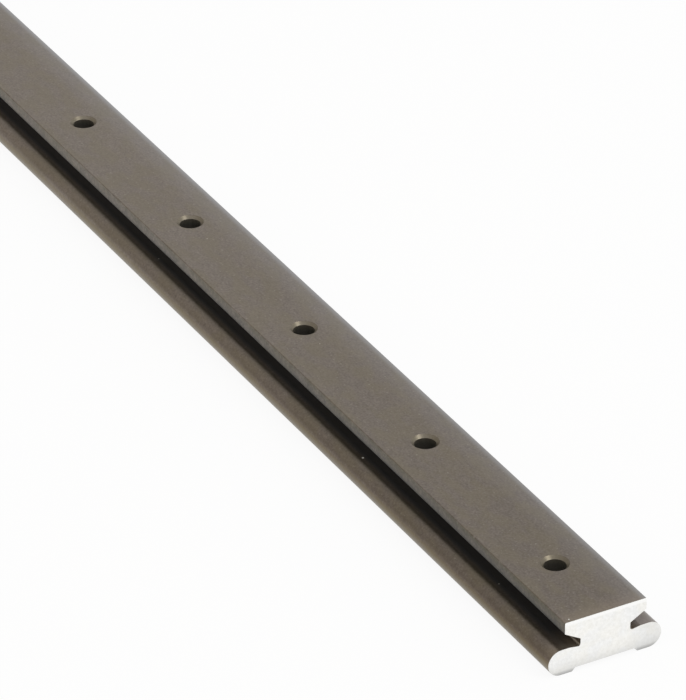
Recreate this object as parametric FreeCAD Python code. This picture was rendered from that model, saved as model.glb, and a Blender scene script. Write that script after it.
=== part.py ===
import FreeCAD, Part
import math
import os

# Profile linear guide rail of extruded aluminium: one solid, with one row of plain through holes.
# X runs along the rail, Y across it and Z up. The origin is the middle of the underside,
# level with the two foot pads that the rail rests on.

# Length and hole pattern
RAIL_LENGTH = 470.0
HOLE_PITCH = 40.0
END_DISTANCE = 15.0  # from the sawn end at +X to the centre of the first hole
BORE_DIAMETER = 3.6  # free clearance for an M3 screw
MOUTH_CHAMFER = 0.5  # at 45 degrees, round each hole's upper mouth
BURR_CHAMFER = 0.2  # at 45 degrees, round its lower mouth

# Section of the head: a flat land over dovetail flanks
RAIL_HEIGHT = 9.2
HEAD_WIDTH = 14.4
HEAD_SIDE_HEIGHT = 2.0
HEAD_EDGE_RADIUS = 0.15
FLANK_SLOPE = 30.0  # degrees from the horizontal, rising outwards

# Section of the web and of the groove beside it, which the carriage's lip runs in
WEB_WIDTH = 8.8
WEB_TOP_RADIUS = 0.15
GROOVE_MOUTH = 2.7  # clear height between the head's side and the flange
ROOT_RADIUS = 0.4
ROOT_RELIEF_DEPTH = 0.3  # how far the groove's floor dips beside the web
ROOT_RELIEF_WIDTH = 1.9

# Section of the base: a flange as thick as the height leaves under the groove,
# with its long edges fully rounded and a hollow between its two foot pads
BASE_WIDTH = 20.0
FOOT_RELIEF_WIDTH = 10.4  # across the hollow's flat
FOOT_RELIEF_DEPTH = 0.6
FOOT_RELIEF_RADIUS = 0.2


def half_outline():
    """Corners (y, z, radius) of the section's right half, from the top land down to the underside."""
    head_y = HEAD_WIDTH / 2
    web_y = WEB_WIDTH / 2
    base_y = BASE_WIDTH / 2
    relief_y = FOOT_RELIEF_WIDTH / 2
    head_low = RAIL_HEIGHT - HEAD_SIDE_HEIGHT
    web_top = head_low - (head_y - web_y) * math.tan(math.radians(FLANK_SLOPE))
    flange_top = head_low - GROOVE_MOUTH
    nose_radius = flange_top / 2
    return [
        (head_y, RAIL_HEIGHT, HEAD_EDGE_RADIUS),
        (head_y, head_low, HEAD_EDGE_RADIUS),
        (web_y, web_top, WEB_TOP_RADIUS),
        (web_y, flange_top - ROOT_RELIEF_DEPTH, ROOT_RADIUS),
        (web_y + ROOT_RELIEF_WIDTH, flange_top, ROOT_RADIUS),
        (base_y, flange_top, nose_radius),
        (base_y, 0.0, nose_radius),
        (relief_y + FOOT_RELIEF_DEPTH, 0.0, FOOT_RELIEF_RADIUS),
        (relief_y, FOOT_RELIEF_DEPTH, FOOT_RELIEF_RADIUS),
    ]


def corner_arc(before, corner, after, radius):
    """Start, middle and end of the arc that rounds a corner between two straight runs."""
    towards_before = (before - corner).normalize()
    towards_after = (after - corner).normalize()
    half_angle = towards_before.getAngle(towards_after) / 2
    setback = radius / math.tan(half_angle)
    bisector = (towards_before + towards_after).normalize()
    middle = corner + bisector * (radius / math.sin(half_angle) - radius)
    return corner + towards_before * setback, middle, corner + towards_after * setback


def rounded_wire(outline, x):
    """Closed wire in the plane at x, with every corner of the outline rounded."""
    points = [FreeCAD.Vector(x, y, z) for y, z, radius in outline]
    arcs = []
    for i, (y, z, radius) in enumerate(outline):
        following = points[(i + 1) % len(points)]
        arcs.append(corner_arc(points[i - 1], points[i], following, radius))
    edges = []
    for i, (start, middle, end) in enumerate(arcs):
        run_start = arcs[i - 1][2]
        if run_start.distanceToPoint(start) > 1e-6:
            edges.append(Part.LineSegment(run_start, start).toShape())
        edges.append(Part.Arc(start, middle, end).toShape())
    return Part.Wire(edges)


def extrusion():
    """The whole bar, sawn square at both ends."""
    right = half_outline()
    left = [(-y, z, radius) for y, z, radius in reversed(right)]
    section = Part.Face(rounded_wire(right + left, -RAIL_LENGTH / 2))
    return section.extrude(FreeCAD.Vector(RAIL_LENGTH, 0, 0))


def hole_positions():
    """Centres of the holes along X, counted from the end at +X, with room kept at the other end."""
    count = int((RAIL_LENGTH - 2 * END_DISTANCE) / HOLE_PITCH + 1e-9) + 1
    first = RAIL_LENGTH / 2 - END_DISTANCE
    return [first - i * HOLE_PITCH for i in range(count)]


def hole_tool():
    """Turned shape of one hole, centred on the Z axis: a bore with a chamfer at each mouth."""
    bore = BORE_DIAMETER / 2
    over = 1.0
    profile = [
        (0, FOOT_RELIEF_DEPTH - over),
        (bore + BURR_CHAMFER + over, FOOT_RELIEF_DEPTH - over),
        (bore, FOOT_RELIEF_DEPTH + BURR_CHAMFER),
        (bore, RAIL_HEIGHT - MOUTH_CHAMFER),
        (bore + MOUTH_CHAMFER + over, RAIL_HEIGHT + over),
        (0, RAIL_HEIGHT + over),
    ]
    points = [FreeCAD.Vector(r, 0, z) for r, z in profile]
    face = Part.Face(Part.makePolygon(points + points[:1]))
    return face.revolve(FreeCAD.Vector(0, 0, 0), FreeCAD.Vector(0, 0, 1), 360)


def guide_rail():
    """The bar with its row of holes down the middle."""
    tools = []
    for x in hole_positions():
        tool = hole_tool()
        tool.translate(FreeCAD.Vector(x, 0, 0))
        tools.append(tool)
    return extrusion().cut(Part.makeCompound(tools))


os.makedirs("parts", exist_ok=True)
rail = guide_rail().Solids[0]
rail.exportStep("parts/guide_rail.step")
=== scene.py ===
import math

import bmesh
import bpy
from mathutils import Matrix, Vector


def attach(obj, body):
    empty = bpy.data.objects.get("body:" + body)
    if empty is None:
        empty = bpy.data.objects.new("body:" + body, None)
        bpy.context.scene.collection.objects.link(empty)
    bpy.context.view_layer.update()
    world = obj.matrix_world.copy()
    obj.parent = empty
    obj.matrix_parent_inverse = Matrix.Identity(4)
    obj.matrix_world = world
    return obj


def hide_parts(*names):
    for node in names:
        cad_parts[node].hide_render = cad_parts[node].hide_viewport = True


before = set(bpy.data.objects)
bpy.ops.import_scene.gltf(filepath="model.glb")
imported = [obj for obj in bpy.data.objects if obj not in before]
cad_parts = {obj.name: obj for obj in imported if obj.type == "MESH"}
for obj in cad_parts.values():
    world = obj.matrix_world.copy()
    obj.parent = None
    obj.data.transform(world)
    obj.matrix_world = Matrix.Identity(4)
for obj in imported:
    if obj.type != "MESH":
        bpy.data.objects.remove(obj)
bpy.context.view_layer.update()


# The bar: an aluminium profile, pressed through a die as a dovetail head on a web and
# a wide base with full-round edges and a shallow hollow between two foot pads.
# It is one length of stock, sawn square at both ends.
MM = 0.001
length = 470 * MM
saw_edge = 0.04 * MM
rim_width = 0.14 * MM
weld = 0.001 * MM

# The section's sizes are in millimetres, halves from the middle and heights from the foot pads.
top = 9.2
head_half = 7.2
head_low = 7.2
flank_slope = math.radians(30)
web_half = 4.4
web_top = round(head_low - (head_half - web_half) * math.tan(flank_slope), 3)
flange_top = 4.5
dip_low = 4.2
dip_half = 6.3
base_half = 10.0
pad_inner = 5.8
hollow_half = 5.2
hollow_depth = 0.6
edge_radius = 0.15
root_radius = 0.4
nose_radius = flange_top / 2
hollow_radius = 0.2

# One side of the section from the middle of the top to the middle of the hollow:
# distance from the middle, height, radius of the corner, arc segments.
half_section = (
    (0.0, top, 0.0, 0),
    (head_half, top, edge_radius, 8),
    (head_half, head_low, edge_radius, 6),
    (web_half, web_top, edge_radius, 6),
    (web_half, dip_low, root_radius, 8),
    (dip_half, flange_top, root_radius, 3),
    (base_half, flange_top, nose_radius, 22),
    (base_half, 0.0, nose_radius, 22),
    (pad_inner, 0.0, hollow_radius, 3),
    (hollow_half, hollow_depth, hollow_radius, 3),
    (0.0, hollow_depth, 0.0, 0),
)

bar = bmesh.new()
start = -length / 2 + saw_edge
corners = []
for across, up, radius, segments in half_section:
    corners.append(bar.verts.new((start, across * MM, up * MM)))
for corner, following in zip(corners, corners[1:]):
    bar.edges.new((corner, following))

for corner, (across, up, radius, segments) in zip(corners, half_section):
    if radius:
        before, after = (e.other_vert(corner).co - corner.co for e in corner.link_edges)
        reach = radius * MM / math.tan(before.angle(after) / 2)
        bmesh.ops.bevel(
            bar,
            geom=[corner],
            affect="VERTICES",
            offset_type="OFFSET",
            offset=reach,
            segments=segments,
            profile=0.5,
            material=-1,
            clamp_overlap=False,
        )
bmesh.ops.remove_doubles(bar, verts=bar.verts[:], dist=weld)
bmesh.ops.mirror(
    bar,
    geom=bar.verts[:] + bar.edges[:],
    matrix=Matrix.Identity(4),
    axis="Y",
    merge_dist=weld,
)
bmesh.ops.edgeloop_fill(bar, edges=bar.edges[:])
pressed = bmesh.ops.extrude_face_region(bar, geom=bar.faces[:])
bmesh.ops.translate(
    bar,
    verts=[v for v in pressed["geom"] if isinstance(v, bmesh.types.BMVert)],
    vec=(length - 2 * saw_edge, 0, 0),
)
bmesh.ops.recalc_face_normals(bar, faces=bar.faces[:])

# The sharp rim that the saw leaves is broken with a file, so each end has a fine, bright border.
for end in [f for f in bar.faces if abs(f.normal.x) > 0.9]:
    rim = bmesh.ops.inset_region(
        bar,
        faces=[end],
        thickness=rim_width,
        depth=saw_edge,
        use_even_offset=True,
    )
    for face in rim["faces"] + [end]:
        face.material_index = 1

anodised = bpy.data.materials.new("anodised_bronze_grey")
sawn = bpy.data.materials.new("sawn_bare_aluminium")
bar_mesh = bpy.data.meshes.new("guide_rail_bar")
bar.to_mesh(bar_mesh)
bar.free()
bar_mesh.materials.append(anodised)
bar_mesh.materials.append(sawn)
rail = bpy.data.objects.new("guide_rail_bar", bar_mesh)
bpy.context.scene.collection.objects.link(rail)


# The screw holes: plain through holes for M3 screws, one every 40 mm down the middle.
# Each is drilled before the bar is anodised, and its upper mouth is countersunk at 45 degrees.
bore = 3.6 * MM
mouth = 0.5 * MM
pitch = 40 * MM
first_hole = length / 2 - 15 * MM
hole_count = 12
hole_facets = 72
overshoot = 0.5 * MM
height = top * MM

drill = bmesh.new()
line = [
    drill.verts.new(point)
    for point in (
        (0, 0, -overshoot),
        (bore / 2, 0, -overshoot),
        (bore / 2, 0, height - mouth),
        (bore / 2 + mouth + overshoot, 0, height + overshoot),
        (0, 0, height + overshoot),
    )
]
turned = [drill.edges.new(pair) for pair in zip(line, line[1:])]
bmesh.ops.spin(
    drill,
    geom=line + turned,
    cent=(0, 0, 0),
    axis=(0, 0, 1),
    angle=math.tau,
    steps=hole_facets,
    use_merge=True,
)
bmesh.ops.remove_doubles(drill, verts=drill.verts[:], dist=weld)
bmesh.ops.recalc_face_normals(drill, faces=drill.faces[:])
one_drill = drill.verts[:] + drill.edges[:] + drill.faces[:]
bmesh.ops.translate(drill, verts=drill.verts[:], vec=(first_hole, 0, 0))
for number in range(1, hole_count):
    copy = bmesh.ops.duplicate(drill, geom=one_drill)
    bmesh.ops.translate(
        drill,
        verts=[v for v in copy["geom"] if isinstance(v, bmesh.types.BMVert)],
        vec=(-pitch * number, 0, 0),
    )
drill_mesh = bpy.data.meshes.new("drill")
drill.to_mesh(drill_mesh)
drill.free()
drill_mesh.materials.append(anodised)
drills = bpy.data.objects.new("drill", drill_mesh)
bpy.context.scene.collection.objects.link(drills)

drilling = rail.modifiers.new("drilling", "BOOLEAN")
drilling.operation = "DIFFERENCE"
drilling.solver = "EXACT"
drilling.object = drills
drilled = bpy.data.meshes.new_from_object(
    rail.evaluated_get(bpy.context.evaluated_depsgraph_get())
)
rail.modifiers.clear()
rail.data = drilled
drilled.name = "guide_rail_bar"
bpy.data.objects.remove(drills)

# Edges that turn by more than this stay crisp, and the arcs between them are shaded round.
crisp_edge = math.radians(32)
rail.data.shade_smooth()
rail.data.set_sharp_from_angle(angle=crisp_edge)
flats = rail.modifiers.new("flat_faces", "WEIGHTED_NORMAL")
flats.keep_sharp = True
flats.weight = 100


# The skin: the bar is etched matt and anodised a grey-brown bronze all over, holes too.
# It keeps faint die lines along the bar, a fine etched grain and a few bright nicks.
class Value:
    """One output socket of a material's node tree, with the maths that is done on it.

    Without a socket it is only the tree, to make a first node in.
    """

    def __init__(self, tree, socket=None):
        self.tree = tree
        self.socket = socket

    def node(self, kind, settings, inputs):
        """A new node: its settings are set first, then its sockets get values or links."""
        made = self.tree.nodes.new(kind)
        for name, setting in settings.items():
            setattr(made, name, setting)
        for name, given in inputs.items():
            if isinstance(given, Value):
                given.into(made.inputs[name])
            else:
                made.inputs[name].default_value = given
        return made

    def output(self, kind, settings, inputs, name):
        return Value(self.tree, self.node(kind, settings, inputs).outputs[name])

    def into(self, socket):
        self.tree.links.new(self.socket, socket)

    def maths(self, operation, *terms):
        numbered = dict(enumerate(terms))
        return self.output("ShaderNodeMath", {"operation": operation}, numbered, "Value")

    def __add__(self, other):
        return self.maths("ADD", self, other)

    def __sub__(self, other):
        return self.maths("SUBTRACT", self, other)

    def __rsub__(self, other):
        return self.maths("SUBTRACT", other, self)

    def __mul__(self, other):
        return self.maths("MULTIPLY", self, other)

    def __abs__(self):
        return self.maths("ABSOLUTE", self)

    __radd__ = __add__
    __rmul__ = __mul__

    def axes(self):
        """The X, Y and Z of this vector."""
        parts = self.node("ShaderNodeSeparateXYZ", {}, {"Vector": self})
        return [Value(self.tree, parts.outputs[axis]) for axis in "XYZ"]

    def step(self, low, high):
        """0 below low, 1 above high and a smooth rise between them."""
        return self.output(
            "ShaderNodeMapRange",
            {"interpolation_type": "SMOOTHSTEP"},
            {"Value": self, "From Min": low, "From Max": high},
            "Result",
        )

    def between(self, low, full, fading, high):
        """0 outside low and high, 1 from full to fading, and smooth in between."""
        return self.step(low, full) * (1 - self.step(fading, high))

    def noise(self, scale, detail, roughness):
        """Noise on this vector, about 0.5; scale holds one number for each axis, per metre."""
        stretched = self.output("ShaderNodeMapping", {}, {"Vector": self, "Scale": scale}, "Vector")
        return self.output(
            "ShaderNodeTexNoise",
            {},
            {"Vector": stretched, "Scale": 1.0, "Detail": detail, "Roughness": roughness},
            "Fac",
        )

    def blend(self, first, second):
        """The first colour where this is 0 and the second where it is 1."""
        mix = self.node("ShaderNodeMix", {"data_type": "RGBA"}, {0: self, 6: first, 7: second})
        return Value(self.tree, mix.outputs[2])

    def spot(self, x, y, z, radius):
        """1 at a point on the bar, fading out at the radius round it, all in millimetres."""
        away = self.output(
            "ShaderNodeVectorMath",
            {"operation": "DISTANCE"},
            {0: self, 1: (x * MM, y * MM, z * MM)},
            "Value",
        )
        return 1 - away.step(0.6 * radius * MM, radius * MM)


def finish_of(material):
    """A material's Principled shader and the coordinates of the piece that wears it."""
    material.use_nodes = True
    tree = material.node_tree
    shader = next(n for n in tree.nodes if n.type == "BSDF_PRINCIPLED")
    place = Value(tree).output("ShaderNodeTexCoord", {}, {}, "Object")
    return shader, place


# On both finishes of the bar, along, across and up are places on it in millimetres.
# The near side is at negative Y, and the end that the camera sees is at along = 235.
skin, place = finish_of(anodised)
along, across, up = ((1 / MM) * axis for axis in place.axes())
from_middle = abs(across)
near_side = 1 - across.step(-1, 1)
below_top = 1 - up.step(9.0, 9.14)
near_end = along.step(228.5, 235.2)

die_lines = place.noise((9, 2600, 2600), 4.0, 0.6)
broad_lines = place.noise((4, 420, 420), 2.0, 0.5)
grain = place.noise((2600, 2600, 2600), 2.0, 0.6)
specks = place.noise((900, 900, 900), 2.0, 0.5)
clouds = place.noise((60, 110, 110), 3.0, 0.55)
hues = place.noise((190, 330, 330), 2.0, 0.5)
dust = place.noise((2300, 2300, 2300), 0.0, 0.5)

deep_bronze = (0.133, 0.111, 0.092, 1)
pale_bronze = (0.235, 0.200, 0.170, 1)
olive = (0.184, 0.156, 0.098, 1)
dust_grey = (0.42, 0.39, 0.35, 1)
pit_brown = (0.080, 0.068, 0.056, 1)

tone = 0.40 + 0.16 * (die_lines - 0.5) + 0.16 * (broad_lines - 0.5)
tone = tone + 1.75 * (grain - 0.5) + 0.55 * (specks - 0.5) + 0.2 * (clouds - 0.5)
# Below the top the skin is a little paler. All of it is painted darker towards the near end and
# lighter towards the far end, more so below the top, as painted shade where less light falls.
tone = tone + 0.10 * below_top
tone = tone - (0.30 + 0.22 * below_top) * (along.step(60, 250) - 0.5)
dye = tone.blend(deep_bronze, pale_bronze)
dye = (0.35 * hues.step(0.38, 0.62)).blend(dye, olive)
dye = (0.21 * dust.step(0.70, 0.84)).blend(dye, dust_grey)
dye = (0.25 - 0.25 * dust.step(0.16, 0.30)).blend(dye, pit_brown)

# The bore walls are paler than the skin round them, and so are the chamfers above them. Each wall
# is painted paler towards its top, as painted light falling in from above.
wall_low = (0.190, 0.178, 0.155, 1)
wall_top_lit = (0.255, 0.235, 0.190, 1)
chamfer_tan = (0.218, 0.195, 0.145, 1)
bores = (1 - from_middle.step(1.81, 1.86)) * up.between(0.66, 0.76, 8.66, 8.75)
dye = bores.blend(dye, up.step(7.7, 8.5).blend(wall_low, wall_top_lit))
rims = (1 - from_middle.step(2.3, 2.4)) * up.between(8.66, 8.75, 9.13, 9.19)
dye = (0.5 * rims).blend(dye, chamfer_tan)

# The floors of the grooves, under the head, are painted dark as painted shade. Over the last few
# millimetres this painted shade is lifted and the near floor is painted a pale brown, as painted
# light coming in at the open end; the rest of the skin is a little paler there too.
groove_shade_inner = (0.058, 0.067, 0.084, 1)
groove_shade_outer = (0.088, 0.095, 0.105, 1)
end_light_floor = (0.31, 0.28, 0.235, 1)
end_skin_pale = (0.37, 0.30, 0.235, 1)
flange_level = up.between(3.9, 4.1, 4.55, 4.7)
grooves = (1 - from_middle.step(6.6, 7.85)) * flange_level
groove_shade = from_middle.step(5.8, 6.5).blend(groove_shade_inner, groove_shade_outer)
dye = (0.85 * grooves * (1 - near_end)).blend(dye, groove_shade)
dye = (0.66 * grooves * near_end * near_side).blend(dye, end_light_floor)
dye = (0.25 * near_end * near_end * near_end).blend(dye, end_skin_pale)

# The upright sides of the head are painted darker than the top, as painted shade, most of all low
# down and towards the near end, and warmer higher up; the etched grain is worked into that painted
# shade.
side_shade_low = (0.060, 0.059, 0.053, 1)
side_shade_high = (0.064, 0.058, 0.030, 1)
uprights = from_middle.step(7.05, 7.14) * up.between(7.0, 7.15, 9.06, 9.16)
side_shade_and_grain = 0.86 - 0.44 * up.step(7.15, 7.85) + 0.06 * up.step(8.3, 8.9)
side_shade_and_grain = side_shade_and_grain + 0.2 * along.step(60, 240) - 0.6 * (specks - 0.5) - 1.1 * (grain - 0.5)
dye = (side_shade_and_grain * uprights).blend(dye, up.step(7.9, 8.8).blend(side_shade_low, side_shade_high))

# The near flange is painted darker and warmer just outside the head, as the head's painted shadow.
# Its rounded edge is painted darker above the middle, as painted shade, most of all near the end,
# and warmer below.
head_shadow_brown = (0.036, 0.028, 0.012, 1)
nose_shade_brown = (0.070, 0.039, 0.019, 1)
nose_tan = (0.190, 0.139, 0.036, 1)
head_shadow_lip = from_middle.between(7.2, 8.0, 8.1, 9.2) * flange_level * near_side * (1 - near_end)
dye = (0.45 * head_shadow_lip).blend(dye, head_shadow_brown)
nose = near_side * from_middle.step(8.2, 8.9)
nose_painted_shade = 0.10 + 0.18 * along.step(60, 150) + 0.16 * along.step(200, 235)
nose_painted_shade = nose_painted_shade * nose * up.step(2.2, 2.85) * (1 - 0.9 * up.step(3.2, 3.85))
dye = nose_painted_shade.blend(dye, nose_shade_brown)
dye = (0.3 * nose * up.between(0.2, 1.2, 2.6, 3.2)).blend(dye, nose_tan)

# The far edge of the top is painted paler, as a painted sheen along that edge, and the far flange
# close to the end is paler too.
sheen_grey = (0.36, 0.36, 0.37, 1)
far_flange_grey = (0.295, 0.280, 0.300, 1)
far_edge_sheen = 0.26 * across.step(1.5, 7.6) + 0.70 * across.step(5.9, 7.2)
far_edge_sheen = far_edge_sheen * up.step(9.0, 9.12) * (0.95 - 0.25 * along.step(40, 240))
dye = far_edge_sheen.blend(dye, sheen_grey)
far_flange_pale = (0.24 * across.step(4.9, 6.4) + 0.16 * across.step(6.8, 8.6)) * near_end
far_flange_pale = far_flange_pale * up.step(1.5, 3.0) * (1 - up.step(4.6, 4.8))
dye = far_flange_pale.blend(dye, far_flange_grey)

# Bare nicks and pale flecks, each with its place on the bar and its radius in millimetres.
# The gouge on the near lip is the largest; it is bare and painted white, as a painted glint.
nick_grey = (0.80, 0.78, 0.72, 1)
fleck_grey = (0.55, 0.52, 0.46, 1)
gouge_glint_white = (0.92, 0.90, 0.84, 1)
gouge = place.spot(172.95, -7.37, flange_top, 0.21)
nicks = gouge + sum(
    place.spot(*nick)
    for nick in (
        (234.27, -6.15, top, 0.16),
        (214.74, -6.81, flange_top, 0.16),
        (101.28, -6.75, flange_top, 0.16),
    )
)
flecks = sum(
    place.spot(*fleck)
    for fleck in (
        (106.5, -0.2, top, 0.17),
        (145.67, -0.15, top, 0.15),
        (213.99, 0.14, top, 0.13),
        (182.81, -3.14, top, 0.13),
        (189.77, -1.51, top, 0.13),
        (222.83, -4.59, top, 0.11),
    )
)
dye = (0.8 * nicks).blend(dye, nick_grey)
dye = (0.45 * flecks).blend(dye, fleck_grey)
dye = gouge.blend(dye, gouge_glint_white)
dye.into(skin.inputs["Base Color"])

satin = 0.34 + 0.10 * (grain - 0.5) + 0.06 * (die_lines - 0.5) + 0.05 * rims
satin.into(skin.inputs["Roughness"])
metal = 0.8 - 0.8 * gouge
metal.into(skin.inputs["Metallic"])
relief = place.output(
    "ShaderNodeBump",
    {},
    {"Strength": 0.25, "Distance": 0.01 * MM, "Height": 0.6 * grain + 0.4 * die_lines},
    "Normal",
)
relief.into(skin.inputs["Normal"])


# The sawn ends: bare aluminium, since the bar was cut to length after it was anodised.
# A fine circular saw leaves close, shallow lines and a pale, slightly mottled face.
cut, place = finish_of(sawn)
across, up = ((1 / MM) * axis for axis in place.axes()[1:])
saw_lines = place.noise((0, 500, 9000), 3.0, 0.6)
mottle = place.noise((900, 900, 900), 3.0, 0.55)
crumbs = place.noise((2100, 2100, 2100), 2.0, 0.6)
casts = place.noise((380, 380, 380), 1.0, 0.5)

warm_dull = (0.81, 0.800, 0.760, 1)
warm_bright = (1.0, 0.992, 0.962, 1)
cool_dull = (0.80, 0.803, 0.788, 1)
cool_bright = (0.995, 0.995, 0.988, 1)
pale = 0.69 + 1.3 * (crumbs - 0.5) + 0.4 * (mottle - 0.5) + 0.15 * (saw_lines - 0.5)
warm = pale.blend(warm_dull, warm_bright)
cool = pale.blend(cool_dull, cool_bright)
bright = casts.step(0.38, 0.62).blend(warm, cool)

# The face is painted greyer low down and along the lower edge of the foot pads, as painted shade
# where it meets the table, greyer towards the far side, and painted brightest at the top, as
# painted light.
low_shade_grey = (0.55, 0.55, 0.54, 1)
far_grey = (0.62, 0.62, 0.60, 1)
top_light_white = (1.0, 1.0, 0.985, 1)
pad_shadow_grey = (0.30, 0.30, 0.30, 1)
low_shade = 1 - up.step(-0.4, 4.2)
bright = (0.55 * low_shade * low_shade).blend(bright, low_shade_grey)
farther = across.step(2.5, 8.5) * (1 - 0.8 * up.step(4.0, 7.5))
bright = (0.28 * farther).blend(bright, far_grey)
bright = up.step(8.4, 8.8).blend(bright, top_light_white)
pad_shadow = abs(across).step(5.1, 5.9) * (1 - up.step(0.1, 0.85))
bright = (0.6 * pad_shadow).blend(bright, pad_shadow_grey)
bright.into(cut.inputs["Base Color"])

scatter = 0.42 + 0.2 * (mottle - 0.5)
scatter.into(cut.inputs["Roughness"])
scored = place.output(
    "ShaderNodeBump",
    {},
    {"Strength": 0.3, "Distance": 0.01 * MM, "Height": saw_lines},
    "Normal",
)
scored.into(cut.inputs["Normal"])
cut.inputs["Metallic"].default_value = 1.0

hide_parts("guide_rail")
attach(rail, "root")


# The studio: a white table that the bar lies on. It shows white behind the bar and in
# the metal's reflections, and keeps a light shadow where the bar touches it.
table_reach = 3.0
table_gap = 0.01 * MM
white_seen = 0.92
white_mirrored = 0.85

table_top = bmesh.new()
bmesh.ops.create_grid(
    table_top,
    x_segments=1,
    y_segments=1,
    size=table_reach,
    matrix=Matrix.Translation((0, 0, -table_gap)),
)
table_mesh = bpy.data.meshes.new("table_top")
table_top.to_mesh(table_mesh)
table_top.free()
table = bpy.data.objects.new("table_top", table_mesh)
bpy.context.scene.collection.objects.link(table)

paper = bpy.data.materials.new("white_paper")
paint, place = finish_of(paper)
paint.inputs["Base Color"].default_value = (0.90, 0.90, 0.90, 1)
paint.inputs["Roughness"].default_value = 0.9
paint.inputs["Specular IOR Level"].default_value = 0.0
rays = place.node("ShaderNodeLightPath", {}, {})
seen = white_seen * Value(place.tree, rays.outputs["Is Camera Ray"])
seen = seen + white_mirrored * Value(place.tree, rays.outputs["Is Glossy Ray"])
seen = seen + white_mirrored * Value(place.tree, rays.outputs["Is Transmission Ray"])
matt = Value(place.tree, paint.outputs["BSDF"])
glow = place.output(
    "ShaderNodeEmission",
    {},
    {"Color": (1, 1, 1, 1), "Strength": 1.0},
    "Emission",
)
shown = place.output("ShaderNodeMixShader", {}, {0: seen, 1: matt, 2: glow}, "Shader")
surface = next(n for n in place.tree.nodes if n.type == "OUTPUT_MATERIAL")
shown.into(surface.inputs["Surface"])
table.data.materials.append(paper)

# The room light: even and soft from all round, and dimmer and slightly warm low down
# at the near left.
dim_warm = (0.61, 0.58, 0.535, 1)
plain_white = (0.87, 0.87, 0.87, 1)
room = bpy.data.worlds.new("room")
room.use_nodes = True
bpy.context.scene.world = room
sky = next(n for n in room.node_tree.nodes if n.type == "BACKGROUND")
direction = Value(room.node_tree).output("ShaderNodeTexCoord", {}, {}, "Generated")
to_end, to_far_side, upwards = direction.axes()
lit = (0.5 * to_end + to_far_side + 0.9 * upwards).step(-0.3, 0.45)
lit.blend(dim_warm, plain_white).into(sky.inputs["Color"])
sky.inputs["Strength"].default_value = 1.0

# The lamp: a soft box above and to the right, which picks out the rims of the holes.
soft_box = bpy.data.lights.new("soft_box", "AREA")
soft_box.shape = "SQUARE"
soft_box.size = 0.45
soft_box.energy = 2.85
soft_box.color = (1.0, 1.0, 0.94)
lamp = bpy.data.objects.new("soft_box", soft_box)
bpy.context.scene.collection.objects.link(lamp)
towards = Vector((0.60, 0.50, 0.80)).normalized()
lamp_distance = 1.2
lit_place = Vector((0.22, 0, 0))
lamp.location = lit_place + lamp_distance * towards
lamp.rotation_euler = towards.to_track_quat("Z", "Y").to_euler()

# The camera: a long lens at the photograph's angle, looking down along the bar.
down_tilt = 31.128
heading = 60.960
lens = bpy.data.cameras.new("camera")
lens.lens = 287.0
lens.sensor_width = 36
camera = bpy.data.objects.new("camera", lens)
camera.location = (0.828015, -0.374687, 0.478078)
camera.rotation_euler = (math.radians(90 - down_tilt), 0, math.radians(heading))
bpy.context.scene.collection.objects.link(camera)
bpy.context.scene.camera = camera

bpy.context.scene.view_settings.view_transform = "Standard"
